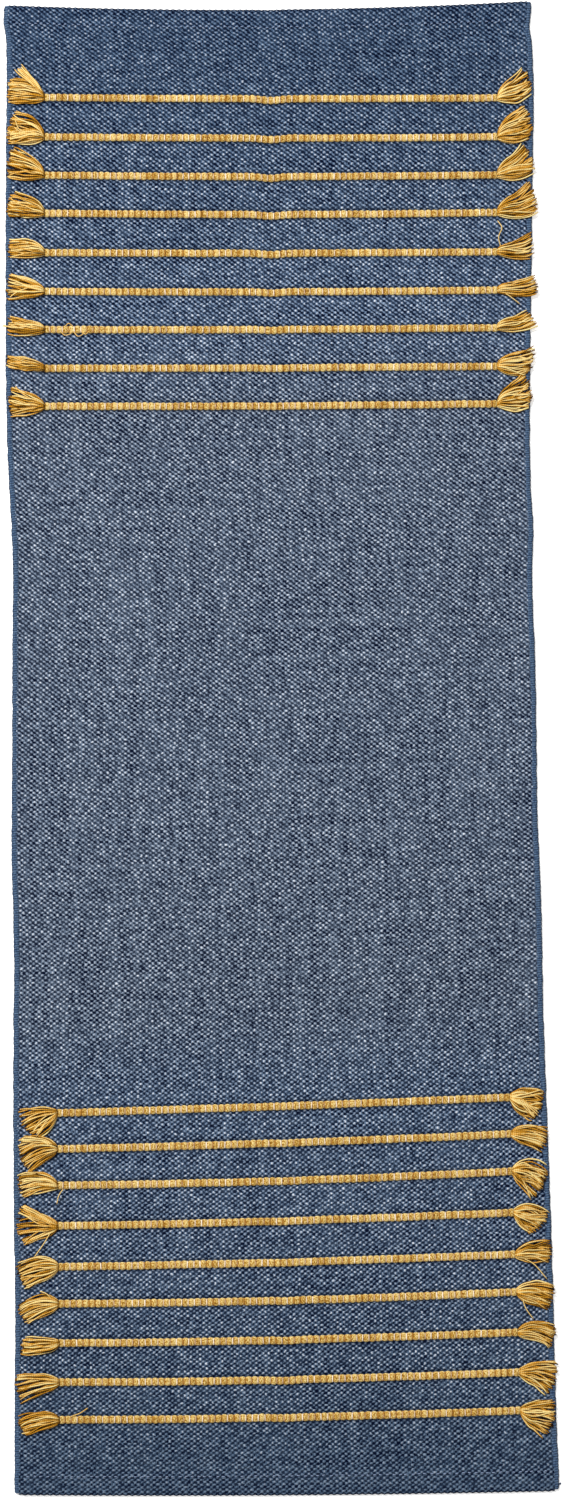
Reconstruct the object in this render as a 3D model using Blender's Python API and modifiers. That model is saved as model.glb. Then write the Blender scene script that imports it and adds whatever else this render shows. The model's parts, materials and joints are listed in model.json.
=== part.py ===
# A handwoven runner rug lying flat: a blue ground cloth with corded side selvedges and a turned hem
# at each end, and two groups of thick yellow stripes laid into its face. Both ends of every stripe
# are left long as a loose tassel, which lies on the cloth and can be lifted at its root.
# +X runs across the rug, +Y along it to the far end, +Z up. The origin is on the floor, at the middle.

import math

import bmesh
import bpy

# Driving dimensions, in metres.
RUG_LENGTH = 2.134
RUG_WIDTH = 0.762
CLOTH_THICKNESS = 0.004
SELVEDGE_WIDTH = 0.0065
HEM_DEPTH = 0.030           # how far each end is turned under
HEM_THICKNESS = 0.0016      # the pressed, turned-under layer
STRIPES_IN_GROUP = 9
STRIPE_WIDTH = 0.0112
STRIPE_PROUD = 0.0022       # how far a stripe stands above the cloth
CLOTH_UNDER_STRIPE = 0.0014
TASSEL_LENGTH = 0.052       # from its root to its cut ends
TASSEL_HEAD_LENGTH = 0.0125  # from its root to its full thickness
TASSEL_FAN_LENGTH = 0.034   # from its root to where it starts to thin out
TASSEL_HEAD_WIDTH = 0.026
TASSEL_FAN_WIDTH = 0.030
TASSEL_TIP_WIDTH = 0.034
TASSEL_HEAD_RISE = 0.0085   # height of the bundle over the cloth near its root
TASSEL_TIP_RISE = 0.0040
TASSEL_ROOT_RADIUS = 0.0035
TASSEL_SIDES = 8            # facets around a tassel
TOUCHING_GAP = 0.0003       # between pieces that rest on or in each other
HINGE_GAP = 0.0005          # between a tassel's round root and the end of its stripe

# Each group's border is the bare cloth from the rug's end to the middle of the outermost stripe.
# Hand beating leaves the stripes a little out of square: a rise is how much further towards the far
# end a stripe's right end lies than its left end. Insets are from the rug's side to a tassel's root.
# The pairs hold the outermost stripe's value and the innermost one's.
GROUPS = {
    "far": {
        "end": 1,
        "border": 0.140,
        "pitch": 0.0562,
        "rise": (-0.009, -0.0045),
        "inset": {"left": (0.0495, 0.047), "right": (0.047, 0.055)},
    },
    "near": {
        "end": -1,
        "border": 0.1085,
        "pitch": 0.0543,
        "rise": (0.005, 0.0145),
        "inset": {"left": (0.0585, 0.058), "right": (0.047, 0.054)},
    },
}
SIDES = {"left": -1, "right": 1}

CLOTH_WIDTH = RUG_WIDTH - 2 * (SELVEDGE_WIDTH + TOUCHING_GAP)
STRIPE_BOTTOM = CLOTH_UNDER_STRIPE + TOUCHING_GAP
STRIPE_TOP = CLOTH_THICKNESS + STRIPE_PROUD
HINGE_HEIGHT = CLOTH_THICKNESS + TOUCHING_GAP + TASSEL_ROOT_RADIUS
CUT_OVERSHOOT = 0.002       # how far a cutter passes the surface that it opens

BLUE_WEAVE = ("blue_weave", (0.076, 0.110, 0.170, 1.0), 0.90)
BLUE_SELVEDGE = ("blue_selvedge", (0.110, 0.150, 0.215, 1.0), 0.85)
BLUE_HEM = ("blue_hem", (0.060, 0.088, 0.138, 1.0), 0.90)
GOLD_STRIPE = ("gold_stripe", (0.610, 0.400, 0.135, 1.0), 0.85)
GOLD_TASSEL = ("gold_tassel", (0.460, 0.260, 0.060, 1.0), 0.85)


def clear_scene():
    for old in list(bpy.data.objects):
        bpy.data.objects.remove(old, do_unlink=True)


def new_collection(name):
    collection = bpy.data.collections.new(name)
    bpy.context.scene.collection.children.link(collection)
    return collection


def new_material(name, colour, roughness):
    material = bpy.data.materials.new(name)
    material.use_nodes = True
    shader = material.node_tree.nodes["Principled BSDF"]
    shader.inputs["Base Color"].default_value = colour
    shader.inputs["Roughness"].default_value = roughness
    shader.inputs["Metallic"].default_value = 0.0
    material.diffuse_color = colour
    return material


def add_object(name, shape, collection, material=None):
    """Wraps a bmesh shape as an object in a collection."""
    mesh = bpy.data.meshes.new(name)
    shape.to_mesh(mesh)
    shape.free()
    if material:
        mesh.materials.append(material)
    item = bpy.data.objects.new(name, mesh)
    collection.objects.link(item)
    return item


def block(name, size, collection, material=None):
    """A box of the given size about its own origin."""
    shape = bmesh.new()
    bmesh.ops.create_cube(shape, size=1.0)
    bmesh.ops.scale(shape, vec=size, verts=shape.verts)
    return add_object(name, shape, collection, material)


def round_edges(item, width):
    bevel = item.modifiers.new("rounded_edges", "BEVEL")
    bevel.width = width
    bevel.segments = 1
    bevel.limit_method = "ANGLE"


def cutter(name, size, place, turn=0.0):
    """A box that is cut out of the ground cloth."""
    item = block(name, size, cutters)
    item.location = place
    item.rotation_euler.z = turn
    item.hide_render = True
    item.display_type = "WIRE"
    return item


def between(pair, index):
    """The value of the stripe with this index, 0 for the outermost one."""
    share = index / (STRIPES_IN_GROUP - 1)
    return pair[0] + (pair[1] - pair[0]) * share


def stripe_line(group, index):
    """A stripe's two tassel roots, left and right, as (x, y)."""
    middle = group["end"] * (RUG_LENGTH / 2 - group["border"] - index * group["pitch"])
    rise = between(group["rise"], index)
    roots = {}
    for side, sign in SIDES.items():
        x = sign * (RUG_WIDTH / 2 - between(group["inset"][side], index))
        roots[side] = (x, middle + sign * rise / 2)
    return roots


def make_selvedge(side):
    item = block(side + "_selvedge", (SELVEDGE_WIDTH, RUG_LENGTH, CLOTH_THICKNESS), parts, selvedge_mat)
    item.location = (SIDES[side] * (RUG_WIDTH - SELVEDGE_WIDTH) / 2, 0, CLOTH_THICKNESS / 2)
    round_edges(item, CLOTH_THICKNESS / 4)


def make_hem(name, end):
    """The turned-under layer at one end, and its rebate in the underside of the cloth."""
    item = block(name + "_hem", (CLOTH_WIDTH, HEM_DEPTH, HEM_THICKNESS), parts, hem_mat)
    item.location = (0, end * (RUG_LENGTH - HEM_DEPTH) / 2, HEM_THICKNESS / 2)
    depth = HEM_DEPTH + TOUCHING_GAP + CUT_OVERSHOOT
    height = HEM_THICKNESS + TOUCHING_GAP + CUT_OVERSHOOT
    cutter(
        name + "_hem_rebate",
        (CLOTH_WIDTH + 2 * CUT_OVERSHOOT, depth, height),
        (0, end * ((RUG_LENGTH - depth) / 2 + CUT_OVERSHOOT), height / 2 - CUT_OVERSHOOT),
    )


def make_stripe(name, roots):
    """A thick bundle of yarn, in a groove in the face of the cloth, between its two tassels."""
    across = roots["right"][0] - roots["left"][0]
    along = roots["right"][1] - roots["left"][1]
    turn = math.atan2(along, across)
    length = math.hypot(across, along) - 2 * (TASSEL_ROOT_RADIUS + HINGE_GAP)
    middle = [(roots["left"][i] + roots["right"][i]) / 2 for i in (0, 1)]
    item = block(name, (length, STRIPE_WIDTH, STRIPE_TOP - STRIPE_BOTTOM), parts, stripe_mat)
    item.location = (*middle, (STRIPE_BOTTOM + STRIPE_TOP) / 2)
    item.rotation_euler.z = turn
    round_edges(item, STRIPE_PROUD / 2)
    height = CLOTH_THICKNESS - CLOTH_UNDER_STRIPE + CUT_OVERSHOOT
    cutter(
        name + "_groove",
        (length + 2 * TOUCHING_GAP, STRIPE_WIDTH + 2 * TOUCHING_GAP, height),
        (*middle, CLOTH_UNDER_STRIPE + height / 2),
        turn,
    )


def make_ground_cloth():
    item = block("ground_cloth", (CLOTH_WIDTH, RUG_LENGTH, CLOTH_THICKNESS), parts, cloth_mat)
    item.location.z = CLOTH_THICKNESS / 2
    cut = item.modifiers.new("grooves_and_rebates", "BOOLEAN")
    cut.operation = "DIFFERENCE"
    cut.operand_type = "COLLECTION"
    cut.collection = cutters


def tassel_sections():
    """Sections of a tassel from its round root outwards: place, half width, foot and crown.

    The places and heights are from the hinge axis. The foot stays level, just clear of the cloth.
    """
    half_root = STRIPE_WIDTH / 2
    root = TASSEL_ROOT_RADIUS
    crown = TASSEL_HEAD_RISE - root
    tip_crown = TASSEL_TIP_RISE - root
    sections = []
    for degrees in (160, 130, 100):
        angle = math.radians(degrees)
        height = root * math.sin(angle)
        sections.append((root * math.cos(angle), half_root, -height, height))
    sections.append((root, (half_root + TASSEL_HEAD_WIDTH / 2) / 2, -root, (root + crown) / 2))
    sections.append((TASSEL_HEAD_LENGTH, TASSEL_HEAD_WIDTH / 2, -root, crown))
    sections.append((TASSEL_FAN_LENGTH, TASSEL_FAN_WIDTH / 2, -root, crown))
    sections.append((TASSEL_LENGTH, TASSEL_TIP_WIDTH / 2, -root, tip_crown))
    return sections


def make_tassel(name, root, sign):
    """A loose bundle of cut ends. Its object's origin is on the hinge axis at its root."""
    sections = tassel_sections()
    shape = bmesh.new()
    bmesh.ops.create_grid(shape, x_segments=len(sections) - 1, y_segments=TASSEL_SIDES, size=0.5)
    for vert in shape.verts:
        place, half_width, foot, crown = sections[round((vert.co.x + 0.5) * (len(sections) - 1))]
        turn = 2 * math.pi * (vert.co.y + 0.5 + 0.5 / TASSEL_SIDES)
        y = half_width * math.cos(turn) / math.cos(math.pi / TASSEL_SIDES)
        z = math.sin(turn) / math.sin(math.pi / 2 - math.pi / TASSEL_SIDES)
        vert.co = (sign * place, y, crown * z if z > 0 else -foot * z)
    bmesh.ops.remove_doubles(shape, verts=shape.verts, dist=0.00001)
    bmesh.ops.holes_fill(shape, edges=shape.edges, sides=TASSEL_SIDES)
    bmesh.ops.recalc_face_normals(shape, faces=shape.faces)
    item = add_object(name, shape, parts, tassel_mat)
    item.location = (*root, HINGE_HEIGHT)
    item.data.shade_smooth()


clear_scene()
parts = new_collection("runner_rug")
cutters = new_collection("cutters")
cloth_mat = new_material(*BLUE_WEAVE)
selvedge_mat = new_material(*BLUE_SELVEDGE)
hem_mat = new_material(*BLUE_HEM)
stripe_mat = new_material(*GOLD_STRIPE)
tassel_mat = new_material(*GOLD_TASSEL)

for side in SIDES:
    make_selvedge(side)
for group_name, group in GROUPS.items():
    make_hem(group_name, group["end"])
    for index in range(STRIPES_IN_GROUP):
        number = index + 1
        roots = stripe_line(group, index)
        make_stripe(f"stripe_{group_name}_{number}", roots)
        for side, sign in SIDES.items():
            make_tassel(f"tassel_{group_name}_{side}_{number}", roots[side], sign)
make_ground_cloth()
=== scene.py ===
# Handwoven cotton runner rug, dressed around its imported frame: blue plain weave with inlaid yellow
# stripes, each left long at both ends as a loose tassel. Metres, Z up, the rug lies on the floor.
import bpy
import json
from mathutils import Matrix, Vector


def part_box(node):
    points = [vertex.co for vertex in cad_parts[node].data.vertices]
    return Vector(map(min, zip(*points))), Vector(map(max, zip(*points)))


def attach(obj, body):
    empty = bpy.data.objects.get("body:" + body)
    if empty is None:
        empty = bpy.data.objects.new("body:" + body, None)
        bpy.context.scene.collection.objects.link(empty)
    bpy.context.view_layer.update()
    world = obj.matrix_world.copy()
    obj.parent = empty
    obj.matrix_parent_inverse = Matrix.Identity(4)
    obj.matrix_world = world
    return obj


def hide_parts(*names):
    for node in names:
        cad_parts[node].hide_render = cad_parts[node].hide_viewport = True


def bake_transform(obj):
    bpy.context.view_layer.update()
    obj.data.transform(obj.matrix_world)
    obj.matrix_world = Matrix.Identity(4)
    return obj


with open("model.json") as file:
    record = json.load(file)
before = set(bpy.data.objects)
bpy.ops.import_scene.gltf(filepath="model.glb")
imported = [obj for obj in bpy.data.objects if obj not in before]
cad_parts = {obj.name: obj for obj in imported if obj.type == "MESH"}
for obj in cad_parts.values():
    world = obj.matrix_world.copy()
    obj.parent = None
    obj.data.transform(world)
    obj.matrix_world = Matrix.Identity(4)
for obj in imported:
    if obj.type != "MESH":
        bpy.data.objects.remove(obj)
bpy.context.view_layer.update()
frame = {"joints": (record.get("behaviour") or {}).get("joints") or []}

import json
import math

import bpy
import numpy as np
from mathutils import Matrix

mm = 0.001

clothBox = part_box("ground_cloth")
clothTop = clothBox[1][2]
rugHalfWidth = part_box("right_selvedge")[1][0]
rugHalfLength = clothBox[1][1]
ends = {"far": 1, "near": -1}
sides = {"left": -1, "right": 1}
stripesInGroup = 9


def linearColour(hexColour):
    # sRGB hex to linear red, green, blue and alpha
    parts = [int(hexColour[i:i + 2], 16) / 255 for i in (1, 3, 5)]
    return [p / 12.92 if p <= 0.04045 else ((p + 0.055) / 1.055) ** 2.4 for p in parts] + [1.0]


def addNode(tree, kind, settings=None, links=None):
    node = tree.nodes.new("ShaderNode" + kind)
    for key, value in (settings or {}).items():
        if isinstance(key, str) and hasattr(node, key):
            setattr(node, key, value)
        else:
            node.inputs[key].default_value = value
    for key, socket in (links or {}).items():
        tree.links.new(socket, node.inputs[key])
    return node


def cottonMaterial(name, roughness=0.9, sheen=0.04, specular=0.1):
    # cotton of any kind: matte, with a trace of fuzz
    material = bpy.data.materials.new(name)
    material.use_nodes = True
    tree = material.node_tree
    shader = tree.nodes["Principled BSDF"]
    shader.inputs["Roughness"].default_value = roughness
    shader.inputs["IOR"].default_value = 1.5
    shader.inputs["Specular IOR Level"].default_value = specular
    shader.inputs["Sheen Weight"].default_value = sheen
    shader.inputs["Sheen Roughness"].default_value = 0.6
    return material, tree, shader


def smoothThrough(points, at):
    # a smooth curve through a few (place, value) points
    places, values = (np.array(column, float) for column in zip(*sorted(points)))
    slopes = np.gradient(values, places)
    at = np.clip(at, places[0], places[-1])
    i = np.clip(np.searchsorted(places, at) - 1, 0, len(places) - 2)
    gap = places[i + 1] - places[i]
    t = (at - places[i]) / gap
    return ((2 * t ** 3 - 3 * t ** 2 + 1) * values[i] + (t ** 3 - 2 * t ** 2 + t) * gap * slopes[i]
            + (3 * t ** 2 - 2 * t ** 3) * values[i + 1] + (t ** 3 - t ** 2) * gap * slopes[i + 1])


def waver(at, spacing, seed):
    # smooth random values from -1 to 1 along a length, with a new one each spacing
    knots = np.random.default_rng(seed).uniform(-1, 1, 4096)
    place = np.asarray(at) / spacing + 1024
    i = np.floor(place).astype(int)
    t = place - i
    t = t * t * (3 - 2 * t)
    return knots[i % 4096] * (1 - t) + knots[(i + 1) % 4096] * t


def makePiece(name, points, faces, material, body, stands=()):
    # a mesh piece that rides on a body, or on none, and replaces some frame nodes
    mesh = bpy.data.meshes.new(name)
    mesh.from_pydata([tuple(p) for p in points], [], faces)
    mesh.materials.append(material)
    mesh.shade_smooth()
    piece = bpy.data.objects.new(name, mesh)
    bpy.context.scene.collection.objects.link(piece)
    if stands:
        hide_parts(*stands)
    if body:
        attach(piece, body)
    return piece


def addValues(piece, name, values, kind="FLOAT"):
    # one value or vector for each point of a mesh, for its material
    attribute = piece.data.attributes.new(name, kind, "POINT")
    field = "vector" if kind == "FLOAT_VECTOR" else "value"
    attribute.data.foreach_set(field, np.asarray(values, np.float32).ravel())


def tubeFaces(rings, around, first=0):
    # quads between rings of points, with both ends closed
    faces = []
    for r in range(rings - 1):
        for k in range(around):
            a = first + r * around + k
            b = first + r * around + (k + 1) % around
            faces.append((a, b, b + around, a + around))
    last = first + (rings - 1) * around
    faces.append(tuple(first + k for k in reversed(range(around))))
    faces.append(tuple(last + k for k in range(around)))
    return faces


def tubePoints(path, radii, around, flat=1.0):
    # rings of points about a path; flat below 1 presses the tube towards the floor
    path = np.asarray(path, float)
    ahead = np.gradient(path, axis=0)
    ahead /= np.linalg.norm(ahead, axis=1)[:, None]
    aside = np.cross(ahead, (0, 0, 1.0))
    aside /= np.linalg.norm(aside, axis=1)[:, None]
    up = np.cross(aside, ahead)
    turn = np.arange(around) * 2 * math.pi / around
    ring = (np.cos(turn)[None, :, None] * aside[:, None, :]
            + flat * np.sin(turn)[None, :, None] * up[:, None, :])
    return path[:, None, :] + ring * np.asarray(radii)[:, None, None]


viewSetup = {
    "distance": 5.0,          # camera to rug
    "tilt": 4.79,             # degrees off straight down, from the near end's side
    "roll": 0.70,             # degrees
    "lens": 83.92,            # mm
    "aim": (0.0067, -0.0207),     # where on the rug the camera points
    "skyStrength": 0.42,
    "lampPower": 1280.0,
    "lampSize": 3.4,
    "lampPlace": (-4.9, 6.0, 7.8),
    "floorSize": 160,
    "floorColour": "#fbfbfa",
    "floorGlow": 0.45,        # a lit table: it keeps shadows on the white floor faint
}


def setUpView():
    scene = bpy.context.scene
    scene.view_settings.view_transform = "Standard"
    tilt = math.radians(viewSetup["tilt"])
    lens = bpy.data.cameras.new("overheadCamera")
    lens.lens = viewSetup["lens"]
    camera = bpy.data.objects.new("overheadCamera", lens)
    scene.collection.objects.link(camera)
    aimX, aimY = viewSetup["aim"]
    place = (aimX, aimY - viewSetup["distance"] * math.sin(tilt), viewSetup["distance"] * math.cos(tilt))
    roll = Matrix.Rotation(-math.radians(viewSetup["roll"]), 4, "Z")
    camera.matrix_world = Matrix.Translation(place) @ Matrix.Rotation(tilt, 4, "X") @ roll
    scene.camera = camera

    world = bpy.data.worlds.new("paleStudio")
    world.use_nodes = True
    scene.world = world
    sky = world.node_tree.nodes["Background"]
    sky.inputs["Color"].default_value = (1, 1, 1, 1)
    sky.inputs["Strength"].default_value = viewSetup["skyStrength"]

    softbox = bpy.data.lights.new("softbox", "AREA")
    softbox.shape = "DISK"
    softbox.size = viewSetup["lampSize"]
    softbox.energy = viewSetup["lampPower"]
    lamp = bpy.data.objects.new("softbox", softbox)
    lamp.location = viewSetup["lampPlace"]
    lamp.rotation_euler = lamp.location.to_track_quat("Z", "Y").to_euler()
    scene.collection.objects.link(lamp)

    bpy.ops.mesh.primitive_plane_add(size=viewSetup["floorSize"])
    floor = bpy.context.object
    floor.name = "studioFloor"
    paint = bpy.data.materials.new("matteWhitePaint")
    paint.use_nodes = True
    paintShader = paint.node_tree.nodes["Principled BSDF"]
    paintShader.inputs["Base Color"].default_value = linearColour(viewSetup["floorColour"])
    paintShader.inputs["Roughness"].default_value = 0.95
    paintShader.inputs["Emission Color"].default_value = (1, 1, 1, 1)
    paintShader.inputs["Emission Strength"].default_value = viewSetup["floorGlow"]
    floor.data.materials.append(paint)
    print("camera, light and floor ready")


# How the weave lies: sides that draw in, and weft rows that follow the stripes.
weaveLay = {
    "warpSpacing": 4.4 * mm,
    "pickSpacing": 3.4 * mm,
    # how far each side wanders out (+) or in (-) from its straight line, in mm, along the rug
    "leftSide": [(-1.067, 1.5), (-0.97, 1.2), (-0.82, -0.8), (-0.67, 0.4), (-0.42, -0.5), (-0.31, -2.0),
                 (-0.16, 0.5), (0.0, -1.3), (0.16, -2.4), (0.25, -4.0), (0.31, -1.6), (0.38, 2.2),
                 (0.46, 4.2), (0.67, 4.4), (0.85, 3.0), (1.0, 1.6), (1.03, 2.6), (1.05, 5.4), (1.067, 4.0)],
    "rightSide": [(-1.067, 2.0), (-0.98, 0.0), (-0.82, -1.4), (-0.67, -3.2), (-0.53, -5.7), (-0.42, -7.8),
                  (-0.22, -8.6), (-0.12, -11.0), (0.09, -10.2), (0.24, -12.4), (0.29, -9.6), (0.35, -12.3),
                  (0.45, -11.8), (0.65, -6.3), (0.8, -1.8), (0.98, 1.9), (1.01, 0.9), (1.025, -1.7),
                  (1.045, 0.2), (1.067, 1.2)],
    "sideTremble": 0.55,       # mm
    # how far, in mm, the rows at each end slant, bow in their middle and lie off their straight line
    "farRise": -2.8,
    "farBow": -9.5,
    "farShift": 2.9,
    "nearRise": -3.2,
    "nearBow": -3.0,
    "nearShift": -1.0,
    "cornerRound": {"far": 4.0, "near": 8.5},     # mm
    # how far the beating has moved each stripe along the rug, and bowed its middle, outermost stripe first
    "stripes": {
        "far": [(2.3, -2.3), (0.7, -2.6), (0.5, -3.2), (0.9, -3.2), (-0.7, -2.1), (-1.2, -2.0),
                (-0.4, -1.7), (-0.6, -1.3), (0.6, -1.9)],
        "near": [(-1.3, -4.0), (-2.7, -5.0), (-1.9, -4.5), (-0.6, -5.1), (-2.9, -3.1), (0.9, -3.6),
                 (3.7, -4.6), (1.4, -2.9), (-1.8, -1.9)],
    },
    # how far (place along the rug, mm) every row dips at the middle of the rug, a fault of the reed
    "middleDip": [(-1.067, 0.0), (-0.96, 1.2), (-0.5, 0.3), (0.4, 0.6), (0.62, 1.4), (0.72, 2.6),
                  (0.98, 2.4), (1.067, 0.6)],
    "dipHalfWidth": 17 * mm,
}
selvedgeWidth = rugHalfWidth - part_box("right_selvedge")[0][0]
warpCount = round(2 * (rugHalfWidth - selvedgeWidth) / weaveLay["warpSpacing"])
pickCount = round(2 * rugHalfLength / weaveLay["pickSpacing"])


def stripeRoots():
    # where each stripe meets its two tassels, from the tassels' hinges
    pins = {j["child"]: j["pos_m"] for j in frame["joints"]}
    roots = {}
    for end in ends:
        for number in range(1, stripesInGroup + 1):
            roots[end, number] = [pins[f"tassel_{end}_{side}_{number}"] for side in sides]
    return roots


roots = stripeRoots()
rootSpan = roots["far", 1][1][0] - roots["far", 1][0][0]


def stripeLine(end, number):
    # (middle place, slope, bow, shift) of a stripe that runs from one tassel's root to the other's
    left, right = roots[end, number]
    shift, bow = (v * mm for v in weaveLay["stripes"][end][number - 1])
    slope = (right[1] - left[1]) / (right[0] - left[0])
    rootX = (right[0] - left[0]) / 2
    return left[1] - slope * left[0] + shift - bow * (1 - (rootX / rugHalfWidth) ** 2), slope, bow, 0.0


def rowStations():
    # the same for the weft at both ends and at every stripe
    lay = weaveLay
    stations = [(ends[end] * rugHalfLength, lay[end + "Rise"] * mm / rootSpan, lay[end + "Bow"] * mm,
                 lay[end + "Shift"] * mm) for end in ends]
    return sorted(stations + [stripeLine(*key) for key in roots])


stations = rowStations()


def rowPlace(x, middle):
    # how far along the rug a weft row lies at x, where its middle would be here if it were straight
    places, slopes, bows, shifts = (np.array(column) for column in zip(*stations))
    slope = np.interp(middle, places, slopes)
    bow = np.interp(middle, places, bows)
    dipPlaces, dips = np.array(weaveLay["middleDip"]).T
    dip = np.interp(middle, dipPlaces, dips) * mm * np.exp(-(x / weaveLay["dipHalfWidth"]) ** 2)
    bowed = bow * (1 - (x / rugHalfWidth) ** 2)
    return middle + np.interp(middle, places, shifts) + slope * x + bowed - dip


def cornerDrop(x, straight):
    # how far the ends of the outermost rows fall back to round the corners
    rounds = weaveLay["cornerRound"]
    radius = np.where(straight > 0, rounds["far"], rounds["near"]) * mm
    outward = np.clip((np.abs(x) - rugHalfWidth + radius) / radius, 0, 1)
    nearness = np.clip(1 - (rugHalfLength - np.abs(straight)) / (2.5 * radius), 0, 1)
    return -np.sign(straight) * radius * (1 - np.sqrt(1 - outward ** 2)) * nearness


def sidePlace(side, along):
    wander = smoothThrough(weaveLay[side + "Side"], along) * mm
    tremble = waver(along, 11 * mm, 3 + sides[side]) * weaveLay["sideTremble"] * mm
    return sides[side] * (rugHalfWidth + wander + tremble)


def warpPlace(u, along):
    # where warp thread u crosses this row
    left = sidePlace("left", along) + selvedgeWidth
    right = sidePlace("right", along) - selvedgeWidth
    return left + (right - left) * u / warpCount


# The ground cloth.
groundWeave = {
    "samplesPerThread": 2,
    "relief": 0.55,            # mm, crest over hollow
    "lumps": ((0.25, 60), (0.2, 90)),    # mm high and mm apart, slow swells of the whole cloth
    "hemRise": 0.7,            # mm, where the cloth is doubled
    "hemReach": 34.0,          # mm from the end to where it isn't doubled any more
    "hemSlope": 5.0,           # mm
    "grooveDepth": 1.7,        # mm, where it passes under a stripe
    "grooveHalfWidth": 6.5,
    "grooveInset": 50.0,       # mm from the rug's sides to where the grooves end
    "scallop": 0.6,            # mm, how far each warp pulls the end rows in or lets them out
    "foldSteps": 4,
    # (mm from the end, mm off the floor) of the underside, which rises over the turned hem
    "underside": [(2.2, 0.35), (3.0, 1.7), (29.8, 1.7), (31.4, 0.35)],
    "underStep": 40.0,         # mm between rows of the rest of the underside
    "shadeColour": "#010924",       # painted shade: in the pits between threads, where the cloth folds under and where it dips beside a stripe
    "yarnDark": "#3a506d",
    "yarn": "#617896",
    "yarnPale": "#8fa3bc",
    "fleck": "#f4f8ff",        # undyed warp that shows between the picks
    "fleckRarity": 2.0,
    "greyed": "#83898f",       # what the middle of the rug has faded towards
    "twistSlant": (-0.055, 0.14),    # which way the floats lean: near end, far end
    "uneven": 0.4,             # how unalike two crossings are
    "pitRim": 0.30,            # the height, of 1 at a crest, where a pit's painted shade starts
    "pitFloor": -0.20,         # and where its painted shade is full
    "shadeBesideStripe": 0.6,       # how much painted shade the cloth gets where it dips beside a stripe
    "foldShade": 0.8,          # the same painted shade where it turns under at its ends
    # how light the dyed yarn is, in red, green and blue, from the near end (0) to the far end (1)
    "dyeDepth": [(0.0, (0.66, 0.69, 0.68)), (0.055, (0.72, 0.75, 0.74)), (0.15, (0.88, 0.88, 0.87)),
                 (0.27, (0.98, 0.98, 0.97)), (0.45, (1.04, 1.04, 1.04)), (0.78, (1.02, 1.02, 1.03)),
                 (0.86, (0.87, 0.90, 0.92)), (0.93, (0.67, 0.74, 0.79)), (1.0, (0.50, 0.60, 0.68))],
}


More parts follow.
